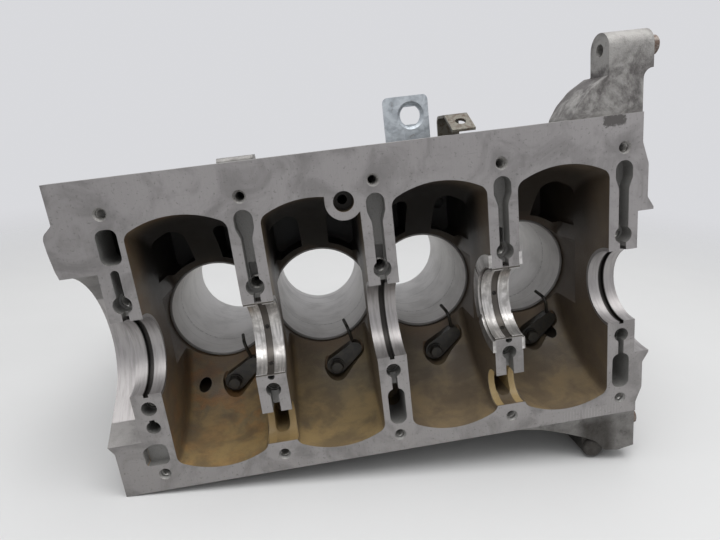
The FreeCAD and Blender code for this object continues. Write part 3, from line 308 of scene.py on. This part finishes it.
@dataclass(frozen=True)
class CastAlloy:
    """Aluminium casting: machined faces, raw skin and bays stained brown by old oil, with
    painted light and shade over parts of them.
    """

    # Planes, radii and reaches of the casting's faces, in millimetres.
    # A pad's or foot's pair is the height of its face and the y above which it lies.
    pitch: float = BORE_PITCH
    deck: float = 231.5
    front: float = -221.0
    rear: float = 212.0
    face_top: float = 132.0
    pad: Pair = (101.6, 40.0)
    foot: Pair = (-96.0, 125.0)
    skim: float = 0.3
    end_x: float = 199.4
    seat_r: float = 59.0
    housing_r: float = 29.5
    housing_chamfer: float = 2.6
    groove_half: float = 2.5
    bulkhead_half: float = 11.1
    swing_r: float = 100.5
    swing_margin: float = 3.3
    pocket_y: Pair = (40.0, 119.0)
    pocket_z: float = 83.0
    roof_y: Pair = (45.0, 96.0)
    slot_y: float = 30.0
    notch_z: Pair = (-94.0, -62.0)
    notch_half: float = 12.0
    land_x: float = 5.2
    # Holes: where they lie, their radii, and from what depth a bolt hole is painted dark as
    # shade.
    main_hole: Pair = (5.6, 34.0)
    rail_hole: Pair = (4.9, 7.0)
    drain: Pair = (163.5, -63.0)
    drain_r: float = 5.3
    feed: Pair = (-22.5, 94.5)
    feed_r: float = 7.8
    # Where marks, stains, painted light and painted shade lie.
    lug_z: Pair = (131.5, 168.0)
    web_x: Pair = (156.0, 184.0)
    web_z: float = -116.0
    chatter_x: Pair = (136.0, 192.0)
    chatter_z: Pair = (-112.5, -104.0)
    chatter_turn: float = 2.4
    pit_x: Pair = (171.0, 188.0)
    pit_z: Pair = (123.5, 131.5)
    rust_x: float = -104.0
    umber_x: float = 2.0
    gold_z: float = -86.0
    warm_z: float = -30.0
    soot_shade_z: float = 34.0
    # Colours.
    milled: Colour = (0.38, 0.362, 0.356)
    milled_dark: Colour = (0.215, 0.205, 0.20)
    skin: Colour = (0.34, 0.33, 0.315)
    skin_dark: Colour = (0.125, 0.117, 0.112)
    smudge: Colour = (0.085, 0.076, 0.074)
    # Grime and painted shade on the foot.
    grime_and_shade: Colour = (0.04, 0.035, 0.03)
    bright: Colour = (0.55, 0.535, 0.52)
    pale_gold: Colour = (0.50, 0.37, 0.18)
    gold: Colour = (0.33, 0.23, 0.10)
    ochre: Colour = (0.215, 0.145, 0.065)
    rust: Colour = (0.30, 0.135, 0.04)
    olive: Colour = (0.145, 0.117, 0.072)
    umber: Colour = (0.115, 0.092, 0.075)
    brown: Colour = (0.085, 0.062, 0.042)
    bronze: Colour = (0.19, 0.125, 0.075)
    # Soot in the bays, and painted shade in the holes and high in the bays.
    shade_and_soot: Colour = (0.012, 0.010, 0.008)
    channel: Colour = (0.27, 0.265, 0.255)

    def material(self) -> bpy.types.Material:
        """Builds the material.

        Returns:
            The material.
        """
        b = Bench(bpy.data.materials.new("cast_alloy"))
        p = b.place()
        radius = distance(p.y, p.z)
        along = (p.x + self.pitch / 2).math("FLOORED_MODULO", self.pitch) - self.pitch / 2
        milled, face = self.milled_mask(p)
        bore = radius.below(self.housing_r + self.housing_chamfer, 0.1) * p.y.above(0.2, 0.1)
        seat = radius.below(self.seat_r, 0.2) * abs(p.x).above(self.end_x, 0.05)
        inside, slots, lands = self.inside_masks(p, radius, along)
        holes = self.hole_mask(p, along)
        colour, grain = self.skin_colour(b, p)
        # The bays' oil stain, with painted light low down and painted shade high up.
        oil = self.oil_light_and_shade(b, p)
        cut = self.milled_colour(b, p, face, along)
        swirl = b.noise(b.stretch(p.at, (1.0, 0.10, 0.10)), 2.2, 4.0, 0.6)
        fresh = b.mix(self.milled, self.milled_dark, swirl.above(0.53, 0.16) * 0.55)
        colour = b.mix(colour, oil, inside)
        crust = grain.above(0.66, 0.12) * 0.5
        colour = b.mix(colour, b.mix(self.channel, self.brown, crust), slots)
        land = b.mix(self.gold, self.pale_gold, p.x.above(0.0, 1.0))
        colour = b.mix(colour, b.mix(land, self.ochre, grain * 0.5), lands)
        colour = b.mix(colour, cut, milled)
        colour = b.mix(colour, fresh, (bore | seat) * (1.0 - milled))
        # Painted shade deep in the holes; the groove in the housings goes nearly black too.
        groove = bore * abs(along).below(self.groove_half, 0.4) * 0.92
        colour = b.mix(colour, self.shade_and_soot, groove | holes)
        smooth = milled | bore | seat
        streaks = b.noise(b.stretch(p.at, (1.4, 1.0, 0.06)), 1.0, 2.0)
        rough = b.shade(0.52 + 0.16 * grain, 0.36 + 0.14 * streaks, smooth)
        rough = b.shade(rough, 0.40 + 0.25 * b.noise(p.at, 14.0), inside * (1.0 - smooth))
        metal = b.shade(0.55, 0.88, smooth)
        metal = b.shade(metal, 0.12, inside * (1.0 - smooth))
        pitted = b.bump(grain, 0.35)
        lined = b.bump(streaks, 0.012)
        normal = self.normals(b, pitted, lined, smooth)
        coat = inside * (1.0 - smooth) * 0.10
        return b.finish(colour, metal, rough, normal, coat)

    def milled_mask(self, p: Place) -> tuple[Wire, Wire]:
        """Finds the faces that were milled.

        Args:
            p: place on the surface.

        Returns:
            Mask of all of them, and of the crankcase joint face alone.
        """
        face = p.y.below(self.skim, 0.1) * p.ny.below(-0.9)
        deck = p.y.above(self.deck - self.skim, 0.1) * p.ny.above(0.9)
        front = p.x.below(self.front + self.skim, 0.1) * p.nx.below(-0.9)
        rear = p.x.above(self.rear - self.skim, 0.1) * p.nx.above(0.9)
        pad_z, pad_y = self.pad
        pads = p.z.above(pad_z, 0.1) * p.nz.above(0.95) * p.y.above(pad_y)
        foot_z, foot_y = self.foot
        feet = p.z.within(foot_z - self.skim, foot_z + self.skim, 0.1) * p.nz.below(-0.95)
        feet = feet * p.y.above(foot_y)
        return face | deck | front | rear | pads | feet, face

    def inside_masks(self, p: Place, radius: Wire, along: Wire) -> tuple[Wire, Wire, Wire]:
        """Finds the walls inside the crankcase.

        Args:
            p: place on the surface.
            radius: distance from the crank axis.
            along: distance from the nearest bulkhead's middle.

        Returns:
            Masks of the walls that oil has stained, of the oil slots in the bulkheads, and of
            the two bare lands left at the foot of bulkheads 2 and 4.
        """
        drum = radius.below(self.swing_r + self.swing_margin, 0.3) * p.y.above(0.35, 0.15)
        pockets = p.y.within(*self.pocket_y, 0.5) * abs(p.z).below(self.pocket_z, 0.5)
        inside = (drum | pockets) * abs(p.x).below(self.end_x + 0.05, 0.1)
        bulkhead = abs(along).below(self.bulkhead_half, 0.2)
        slots = inside * bulkhead * p.y.below(self.slot_y, 0.5)
        beside = abs(p.x) - self.pitch
        notch = p.z.within(*self.notch_z, 0.3)
        notch = notch * beside.within(-self.notch_half, self.notch_half, 0.2)
        lands = notch * inside * abs(along).above(self.land_x, 0.4) * p.y.above(2.0, 0.5)
        slots = slots * (1.0 - notch)
        return inside * (1.0 - slots), slots, lands * bulkhead

    def hole_mask(self, p: Place, along: Wire) -> Wire:
        """Finds the walls of the holes in the joint face, which darken from the face down as
        painted shade.

        Args:
            p: place on the surface.
            along: distance from the nearest bulkhead's middle.

        Returns:
            Mask of the walls.
        """
        drains = self.ring(abs(p.x), p.z, self.drain, self.drain_r)
        feed = self.ring(p.x, p.z, self.feed, self.feed_r) * p.y.above(8.0, 8.0)
        mask = drains | feed
        for z, (r, deep) in ((MAIN_BOLT_Z, self.main_hole), (-MAIN_BOLT_Z, self.main_hole),
                             (RAIL_BOLT_HIGH, self.rail_hole), (RAIL_BOLT_LOW, self.rail_hole)):
            near = distance(along, p.z - z).below(r, 0.2)
            mask = mask | near * p.y.within(deep, 90.0, 4.0)
        return mask * 0.9

    def ring(self, across: Wire, up: Wire, centre: tuple[float, float], radius: float) -> Wire:
        """Finds what lies within a radius of a hole's centre."""
        return distance(across - centre[0], up - centre[1]).below(radius, 0.15)

    def skin_colour(self, b: Bench, p: Place) -> tuple[Wire, Wire]:
        """Colours the raw outer skin, with painted shade and grime on the foot under the web.

        Args:
            b: the material's bench.
            p: place on the surface.

        Returns:
            Its colour and its grain.
        """
        grain = b.noise(p.at, 1.1, 4.0, 0.65)
        clouds = b.noise(p.at, 22.0, 5.0, 0.62, 0.8)
        dirt = b.noise(p.at, 6.0, 5.0, 0.72)
        share = clouds.above(0.53, 0.13) * 0.6 + dirt.above(0.60, 0.10) * 0.4
        colour = b.mix(self.skin, self.skin_dark, share)
        stained = p.x.above(120.0, 8.0) * p.z.within(*self.lug_z, 7.0)
        blots = (clouds * 0.7 + dirt * 0.3).above(0.485, 0.10)
        colour = b.mix(colour, self.smudge, stained * blots * 0.8)
        # Painted shade with some grime: the foot under the web goes dark, most of all on its
        # boss.
        grimy_and_shaded = p.z.below(self.web_z, 8.0) * p.x.above(100.0, 20.0)
        heavy = b.shade(0.25, 0.75, p.x.within(*self.web_x, 6.0))
        step = p.x.below(-self.end_x - self.skim, 0.1) * p.ny.below(-0.5, 0.1)
        colour = b.mix(colour, self.milled_dark, step * 0.6)
        return b.mix(colour, self.grime_and_shade, grimy_and_shaded * (heavy + 0.35 * dirt)), grain

    def oil_light_and_shade(self, b: Bench, p: Place) -> Wire:
        """Colours the stained walls of the bays with painted light and shade: golden at the
        foot, nearly black above.

        Args:
            b: the material's bench.
            p: place on the surface.

        Returns:
            The colour.
        """
        clouds = b.noise(p.at, 28.0, 5.0, 0.62, 0.8)
        fine = b.noise(p.at, 9.0, 4.0, 0.6)
        wander = (clouds - 0.5) * 60.0
        warm = b.mix(self.ochre, self.olive, p.x.above(-70.0, 50.0) | clouds.above(0.55, 0.1))
        patch = p.x.below(self.rust_x, 6.0) * b.noise(p.at, 17.0, 4.0, 0.6).above(0.54, 0.07)
        warm = b.mix(warm, self.rust, patch * 0.7)
        # Painted light over the oil stain: the foot of the walls is golden.
        foot = (p.z + wander * 0.6).below(self.gold_z, 14.0)
        warm = b.mix(warm, self.gold, foot * 0.7)
        warm = b.mix(warm, self.brown, fine.above(0.60, 0.16) * 0.25)
        warm = b.mix(warm, self.umber, p.x.above(self.umber_x, 1.0) * 0.5)
        mottle = b.noise(b.stretch(p.at, (0.8, 1.0, 1.3)), 24.0, 5.0, 0.6, 0.3)
        warm = b.mix(warm, self.brown, mottle.above(0.52, 0.12) * 0.55)
        warm = b.mix(warm, self.gold, mottle.below(0.42, 0.12) * 0.22)
        # Painted light over the oil stain: warm low down and near the opening, brown above.
        low = (p.z + wander).below(self.warm_z, 52.0) | p.y.below(24.0, 16.0) * 0.5
        side = abs(p.nx).above(0.80, 0.1) * 0.55
        colour = b.mix(b.mix(self.brown, warm, low), self.brown, side)
        roofs = p.ny.below(-0.85) * p.y.within(*self.roof_y, 1.0)
        colour = b.mix(colour, self.bronze, roofs * (0.45 + 0.5 * mottle))
        # Painted shade over the oil soot: nearly black high up in the bays, a little less on
        # the right.
        sooty_and_shaded = (p.z + wander * 0.5).above(self.soot_shade_z, 20.0) * p.y.above(26.0, 15.0)
        return b.mix(colour, self.shade_and_soot, sooty_and_shaded * b.shade(1.0, 0.72, p.x.above(96.0, 6.0)))

    def milled_colour(self, b: Bench, p: Place, face: Wire, along: Wire) -> Wire:
        """Colours the milled faces: satin with stains, chatter marks, a raw pit and a painted
        highlight along the joint face's top edge.

        Args:
            b: the material's bench.
            p: place on the surface.
            face: mask of the joint face.
            along: distance from the nearest bulkhead's middle.
        Returns:
            The colour.
        """
        stains = b.noise(p.at, 30.0, 5.0, 0.6, 0.9)
        specks = b.noise(p.at, 2.6, 3.0, 0.7)
        brushed = b.noise(b.stretch(p.at, (0.9, 1.0, 0.05)), 1.0, 2.0)
        scored = b.noise(b.stretch(p.at, (0.035, 1.0, 1.3)), 1.0, 1.0).above(0.74, 0.02)
        tone = stains.above(0.55, 0.13) * 0.55 + brushed * 0.22 + specks.above(0.63, 0.05) * 0.6
        ends = p.x.below(-150.0, 70.0) * 0.38 | p.x.within(-150.0, 150.0, 50.0) * 0.18
        dents = b.noise(p.at, 0.9, 2.0, 0.6).above(0.72, 0.03) * 0.4
        tone = tone + dents + scored * 0.35 + (p.z.below(-70.0, 40.0) * 0.25 | ends)
        colour = b.mix(self.milled, self.milled_dark, tone)
        rows = (p.x * self.chatter_turn).math("SINE").above(0.5, 0.4) * specks.above(0.46, 0.1)
        chatter = p.x.within(*self.chatter_x, 10.0) * p.z.within(*self.chatter_z, 2.0) * rows
        colour = b.mix(colour, self.bright, chatter * face * 0.18)
        halo = distance(along, p.z - RAIL_BOLT_HIGH).below(9.0, 6.0)
        halo = halo * stains.above(0.42, 0.12)
        colour = b.mix(colour, self.milled_dark, halo * 0.65 * face)
        # Painted highlight, broken up with the stains: a bright line along the joint face's top
        # edge.
        worn = p.z.above(self.face_top - 0.9, 0.5) * (0.4 + 0.6 * stains.above(0.45, 0.1))
        colour = b.mix(colour, self.bright, worn * face)
        edge = (specks - 0.5) * 11.0
        pit = (p.x + edge).within(*self.pit_x, 1.2) * (p.z + edge).within(*self.pit_z, 1.2)
        return b.mix(colour, self.skin_dark, pit * face)

    def normals(self, b: Bench, rough: Wire, fine: Wire, share: Wire) -> Wire:
        """Mixes two normals by a share."""
        settings = {"data_type": "VECTOR"}
        return b.make("ShaderNodeMix", settings, {0: share, 4: rough, 5: fine}, 1)


@dataclass(frozen=True)
class HonedIron:
    """Iron liner, honed inside, with wear bands."""

    pitch: float = BORE_PITCH
    bore_r: float = 43.5
    scratch_slope: float = 1.6
    scratch_turn: float = 1.9
    mouth_y: float = 93.4
    ring_y: Pair = (127.6, 129.4)
    line_y: Pair = (112.0, 112.8)
    grey: Colour = (0.70, 0.685, 0.67)
    dark: Colour = (0.20, 0.19, 0.18)

    def material(self) -> bpy.types.Material:
        """Builds the material.

        Returns:
            The material.
        """
        b = Bench(bpy.data.materials.new("honed_iron"))
        p = b.place()
        across = (p.x + 2 * self.pitch).math("FLOORED_MODULO", self.pitch) - self.pitch / 2
        turn = p.z.math("ARCTAN2", across) * self.bore_r
        left = (turn + p.y * self.scratch_slope) * self.scratch_turn
        right = (turn - p.y * self.scratch_slope) * self.scratch_turn
        hatch = left.math("SINE") * 0.25 + right.math("SINE") * 0.25 + 0.5
        rings = b.noise(b.stretch(p.at, (0.02, 1.0, 0.02)), 4.0, 3.0)
        clouds = b.noise(p.at, 24.0, 4.0, 0.6)
        specks = b.noise(p.at, 1.6, 3.0, 0.7)
        share = rings.above(0.66, 0.05) * 0.25 + clouds.above(0.56, 0.16) * 0.22
        mouth = p.y.below(self.mouth_y, 0.5) * 0.8
        ring = (p.y + (clouds - 0.5) * 2.0).within(*self.ring_y, 0.6)
        band = ring * specks.above(0.50, 0.05) * 0.7 + p.y.within(*self.line_y, 0.4) * 0.25
        colour = b.mix(self.grey, self.dark, share | mouth | band)
        rough = 0.46 + 0.12 * clouds + 0.06 * hatch
        return b.finish(colour, 0.55, rough, b.bump(hatch, 0.004))


@dataclass(frozen=True)
class WornMetal:
    """Plain metal with a second tone where it is worn, stained or rusted."""

    name: str
    base: Colour
    stain: Colour
    patch: float = 6.0
    spread: float = 0.5
    metallic: float = 0.8
    rough: float = 0.4
    coat: float = 0.0

    def material(self) -> bpy.types.Material:
        """Builds the material.

        Returns:
            The material.
        """
        b = Bench(bpy.data.materials.new(self.name))
        p = b.place()
        clouds = b.noise(p.at, self.patch, 5.0, 0.65, 0.5)
        fine = b.noise(p.at, 0.8, 3.0, 0.6)
        share = clouds.above(1.0 - self.spread, 0.09)
        colour = b.mix(self.base, self.stain, share * (0.65 + 0.5 * fine))
        rough = self.rough + 0.18 * share + 0.1 * (fine - 0.5)
        metal = self.metallic * (1.0 - 0.55 * share)
        return b.finish(colour, metal, rough, b.bump(fine + share * 0.5, 0.05), self.coat)


@dataclass(frozen=True)
class BearingMetal:
    """Bearing alloy with a bright band where the crank ran."""

    shell: Colour = (0.36, 0.345, 0.33)
    worn: Colour = (0.66, 0.64, 0.62)
    groove: Colour = (0.10, 0.09, 0.08)
    groove_r: Pair = (28.0, 29.3)

    def material(self) -> bpy.types.Material:
        """Builds the material.

        Returns:
            The material.
        """
        b = Bench(bpy.data.materials.new("bearing_metal"))
        p = b.place()
        radius = distance(p.y, p.z)
        around = b.noise(b.stretch(p.at, (1.0, 0.07, 0.07)), 1.6, 3.0)
        clouds = b.noise(p.at, 9.0, 4.0, 0.6)
        band = clouds.above(0.47, 0.12) * around.above(0.44, 0.15)
        colour = b.mix(self.shell, self.worn, band)
        colour = b.mix(colour, self.groove, radius.within(*self.groove_r, 0.2))
        rough = 0.40 - 0.16 * band + 0.1 * around
        return b.finish(colour, 0.85, rough, b.bump(around, 0.01))


@dataclass(frozen=True)
class ZincSheet:
    """Galvanised sheet with pale spangles."""

    pale: Colour = (0.60, 0.64, 0.67)
    grey: Colour = (0.36, 0.39, 0.42)
    dirt: Colour = (0.20, 0.18, 0.15)
    spangle_size: float = 3.6

    def material(self) -> bpy.types.Material:
        """Builds the material.

        Returns:
            The material.
        """
        b = Bench(bpy.data.materials.new("zinc_sheet"))
        p = b.place()
        spangle = b.split(b.cells(p.at, self.spangle_size))[0]
        clouds = b.noise(p.at, 8.0, 5.0, 0.7, 0.7)
        share = spangle * 0.45 + clouds.above(0.5, 0.12) * 0.55
        colour = b.mix(self.pale, self.grey, share)
        colour = b.mix(colour, self.dirt, clouds.above(0.66, 0.05) * 0.6)
        rough = 0.36 + 0.22 * share
        return b.finish(colour, 0.7, rough, b.bump(clouds, 0.06))


class Slot(Enum):
    """Material slots of the record and the finish that each one gets."""

    cast_alloy = CastAlloy()
    liner_iron = HonedIron()
    jet_steel = WornMetal("jet_steel", (0.036, 0.032, 0.025), (0.010, 0.009, 0.008),
                          patch=5.0, metallic=0.6, rough=0.36, coat=0.4)
    shell_metal = BearingMetal()
    zinc_sheet = ZincSheet()
    worn_sheet = WornMetal("worn_sheet", (0.155, 0.145, 0.12), (0.075, 0.05, 0.033),
                           patch=4.0, spread=0.46, metallic=0.7, rough=0.42)
    screw_steel = WornMetal("screw_steel", (0.25, 0.24, 0.22), (0.12, 0.08, 0.05),
                            patch=5.0, spread=0.42)
    dowel_steel = WornMetal("dowel_steel", (0.25, 0.215, 0.19), (0.12, 0.075, 0.055),
                            patch=3.5, metallic=0.6, rough=0.5)
    copper_washer = WornMetal("copper_washer", (0.50, 0.27, 0.17), (0.22, 0.13, 0.09),
                              patch=5.0)


class Dresser:
    """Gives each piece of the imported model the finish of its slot."""

    def __init__(self) -> None:
        """Builds every finish once."""
        self.made = {slot.name: slot.value.material() for slot in Slot}

    def dress(self) -> None:
        """Puts the finishes on the pieces."""
        slots = {row["node"]: row["material_slot"] for row in frame["record"]["subparts"]}
        for name, piece in frame["nodes"].items():
            for slot in piece.material_slots:
                slot.material = self.made[slots[name]]
            LOG.info("dressed %s as %s", name, slots[name])


@dataclass(frozen=True)
class Ridge:
    """Ridge of a screw thread, and the holes that have it, in millimetres."""

    name: str
    places: Pair
    hole_r: float
    pitch: float
    start: float
    end: float
    height: float
    sunk: float = 0.02
    root_half: float = 0.44
    crest_half: float = 0.06

    def profile(self) -> tuple[Pair, ...]:
        """Draws the ridge's section.

        Returns:
            Its corners, each as a radius and a share of the pitch.
        """
        wall, crest = self.hole_r - self.sunk, self.hole_r - self.height
        return ((wall, -self.root_half), (crest, -self.crest_half),
                (crest, self.crest_half), (wall, self.root_half))


class Thread(Enum):
    """Screw threads in the joint face."""

    MAIN = Ridge("main_bolt_threads", (MAIN_BOLT_Z, -MAIN_BOLT_Z), hole_r=5.0, pitch=1.5,
                 start=12.4, end=40.0, height=0.55)
    RAIL = Ridge("rail_bolt_threads", (RAIL_BOLT_HIGH, RAIL_BOLT_LOW), hole_r=3.6, pitch=1.25,
                 start=2.6, end=25.0, height=0.42)


@dataclass
class Threads:
    """Threads of the main bolt holes and the rail bolt holes."""

    stations: tuple[float, ...] = tuple(i * BORE_PITCH for i in range(-2, 3))
    steps: int = 30
    metal: Colour = (0.55, 0.54, 0.52)
    dull: Colour = (0.20, 0.19, 0.17)

    def build(self) -> None:
        """Builds one piece for each kind of hole."""
        finish = WornMetal("thread_metal", self.metal, self.dull, patch=5.0, spread=0.45)
        metal = finish.material()
        for thread in Thread:
            piece = self.cut(thread.value)
            piece.data.materials.append(metal)
            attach(piece, "root")
            LOG.info("built %s with %d faces", piece.name, len(piece.data.polygons))

    def cut(self, ridge: Ridge) -> bpy.types.Object:
        """Winds a thread's ridge round the wall of every hole of a kind.

        Args:
            ridge: the thread's ridge and its holes.

        Returns:
            The piece.
        """
        points, faces = [], []
        profile = ridge.profile()
        row = len(profile)
        count = int((ridge.end - ridge.start - ridge.pitch) / ridge.pitch * self.steps)
        for x in self.stations:
            for z in ridge.places:
                base = len(points)
                for i in range(count + 1):
                    angle = 2 * math.pi * i / self.steps
                    lift = ridge.start + ridge.pitch / 2 + ridge.pitch * i / self.steps
                    for r, shift in profile:
                        points.append((x + r * math.cos(angle), lift + shift * ridge.pitch,
                                       z + r * math.sin(angle)))
                for i in range(count):
                    for k in range(row - 1):
                        a = base + row * i + k
                        faces.append((a, a + 1, a + row + 1, a + row))
        mesh = bpy.data.meshes.new(ridge.name)
        mesh.from_pydata([Vector(v) * MM for v in points], [], faces)
        mesh.update()
        piece = bpy.data.objects.new(ridge.name, mesh)
        bpy.context.scene.collection.objects.link(piece)
        return piece


@dataclass(frozen=True)
class Lamp:
    """Soft rectangular lamp, with its places and size in metres and its power in watts."""

    name: str
    where: Triple
    aim: Triple
    size: Pair
    power: float

    def hang(self) -> None:
        """Hangs the lamp and points it."""
        data = bpy.data.lights.new(self.name, "AREA")
        data.shape = "RECTANGLE"
        data.size, data.size_y = self.size
        data.energy = self.power
        lamp = bpy.data.objects.new(self.name, data)
        lamp.location = self.where
        ahead = Vector(self.aim) - Vector(self.where)
        lamp.rotation_euler = ahead.to_track_quat("-Z", "Y").to_euler()
        bpy.context.scene.collection.objects.link(lamp)


@dataclass
class Studio:
    """Pale floor under the leaning block, soft lamps and the camera."""

    # Floor, in metres.
    floor_r: float = 1.6
    floor_sides: int = 64
    floor_middle: Triple = (0.0, 0.1, 0.0)
    floor_fade: Pair = (0.55, 1.25)
    floor_colour: Colour = (0.68, 0.68, 0.68)
    floor_shade: float = 0.97
    # Air and lamps.
    air: Colour = (0.69, 0.695, 0.72)
    air_light: Colour = (0.96, 0.98, 1.0)
    air_strength: float = 0.27
    lamps: tuple[Lamp, ...] = (
        Lamp("ceiling", (0.15, -0.25, 1.6), (0.0, 0.1, 0.0), (1.8, 1.4), 32.0),
        Lamp("front_left", (-1.0, -1.1, 1.3), (0.0, 0.05, 0.0), (1.0, 1.0), 4.0),
        Lamp("right", (1.5, -0.6, 0.9), (0.05, 0.1, 0.0), (0.9, 0.9), 5.5))
    # Camera: its place in millimetres, what it looks along, its right side, and its lens.
    eye: Triple = (-44.4, -352.6, 137.5)
    ahead: Triple = (0.0756, 0.9632, -0.2578)
    aside: Triple = (0.9873, -0.1086, -0.1162)
    lens: float = 24.85
    sensor: float = 36.0
    clip_start: float = 0.01
    # The places that the block rests on, in millimetres.
    contacts: tuple[Triple, ...] = (
        (-221.0, 0.0, -113.3), (170.0, 20.0, -159.0), (-117.0, 195.5, -106.0))

    def build(self) -> None:
        """Sets up everything round the object."""
        self.floor()
        self.sky()
        for lamp in self.lamps:
            lamp.hang()
        self.camera()
        bpy.context.scene.view_settings.view_transform = "Standard"

    def slope(self) -> tuple[Vector, Vector]:
        """Finds the floor from the places that the block rests on.

        Returns:
            A point of the floor and its upward normal.
        """
        a, b, c = (Vector(p) * MM for p in self.contacts)
        normal = (b - a).cross(c - a).normalized()
        return a, normal if normal.z > 0 else -normal

    def floor(self) -> None:
        """Lays a round floor that fades out into the air."""
        point, normal = self.slope()
        side = normal.cross(Vector((0.0, 1.0, 0.0))).normalized()
        ahead = normal.cross(side)
        middle = Vector(self.floor_middle)
        middle -= normal * (middle - point).dot(normal)
        angles = (2 * math.pi * i / self.floor_sides for i in range(self.floor_sides))
        rim = [middle + self.floor_r * (math.cos(a) * side + math.sin(a) * ahead)
               for a in angles]
        mesh = bpy.data.meshes.new("studio_floor")
        mesh.from_pydata(rim, [], [tuple(range(self.floor_sides))])
        floor = bpy.data.objects.new("studio_floor", mesh)
        bpy.context.scene.collection.objects.link(floor)
        floor.data.materials.append(self.floor_material(middle))
        LOG.info("laid the floor")

    def floor_material(self, middle: Vector) -> bpy.types.Material:
        """Builds the pale matt floor's material, which can be seen only near the block.

        Args:
            middle: the floor's middle, in metres.

        Returns:
            The material.
        """
        b = Bench(bpy.data.materials.new("studio_floor"))
        p = b.place()
        away = distance(*(v - m / MM for v, m in zip((p.x, p.y, p.z), middle))) * MM
        low, high = self.floor_fade
        hidden = away.above((low + high) / 2, (high - low) / 2)
        shaded = tuple(c * self.floor_shade for c in self.floor_colour)
        tone = b.mix(self.floor_colour, shaded, b.noise(p.at, 60.0))
        matt = b.make("ShaderNodeBsdfDiffuse", {}, {"Color": tone})
        clear = b.make("ShaderNodeBsdfTransparent", {}, {})
        b.make_output(b.make("ShaderNodeMixShader", {}, {0: hidden, 1: matt, 2: clear}))
        return b.owner

    def sky(self) -> None:
        """Sets the air's colour for the eye and reflections, and its light."""
        b = Bench(bpy.data.worlds.new("studio_air"))
        bpy.context.scene.world = b.owner
        rays = b.make("ShaderNodeLightPath", {}, {}).socket.node.outputs
        seen = Wire(b, rays["Is Camera Ray"]) | Wire(b, rays["Is Transmission Ray"])
        mirrored = seen | Wire(b, rays["Is Glossy Ray"])
        shown = b.make("ShaderNodeBackground", {}, {"Color": (*self.air, 1.0)})
        light = b.make("ShaderNodeBackground", {},
                       {"Color": (*self.air_light, 1.0), "Strength": self.air_strength})
        both = b.make("ShaderNodeMixShader", {}, {0: mirrored, 1: light, 2: shown})
        b.make_output(both, "ShaderNodeOutputWorld")

    def camera(self) -> None:
        """Sets up the camera."""
        data = bpy.data.cameras.new("camera")
        data.sensor_width = self.sensor
        data.lens = self.lens
        data.clip_start = self.clip_start
        camera = bpy.data.objects.new("camera", data)
        back = -Vector(self.ahead).normalized()
        right = Vector(self.aside)
        right = (right - back * right.dot(back)).normalized()
        up = back.cross(right)
        turn = Matrix((right, up, back)).transposed().to_4x4()
        camera.matrix_world = Matrix.Translation(Vector(self.eye) * MM) @ turn
        bpy.context.scene.collection.objects.link(camera)
        bpy.context.scene.camera = camera


def main() -> None:
    """Dresses the block and sets up the studio."""
    logging.basicConfig(level=logging.INFO, format="%(message)s")
    Studio().build()
    Dresser().dress()
    Threads().build()


if __name__ == "__main__":
    main()
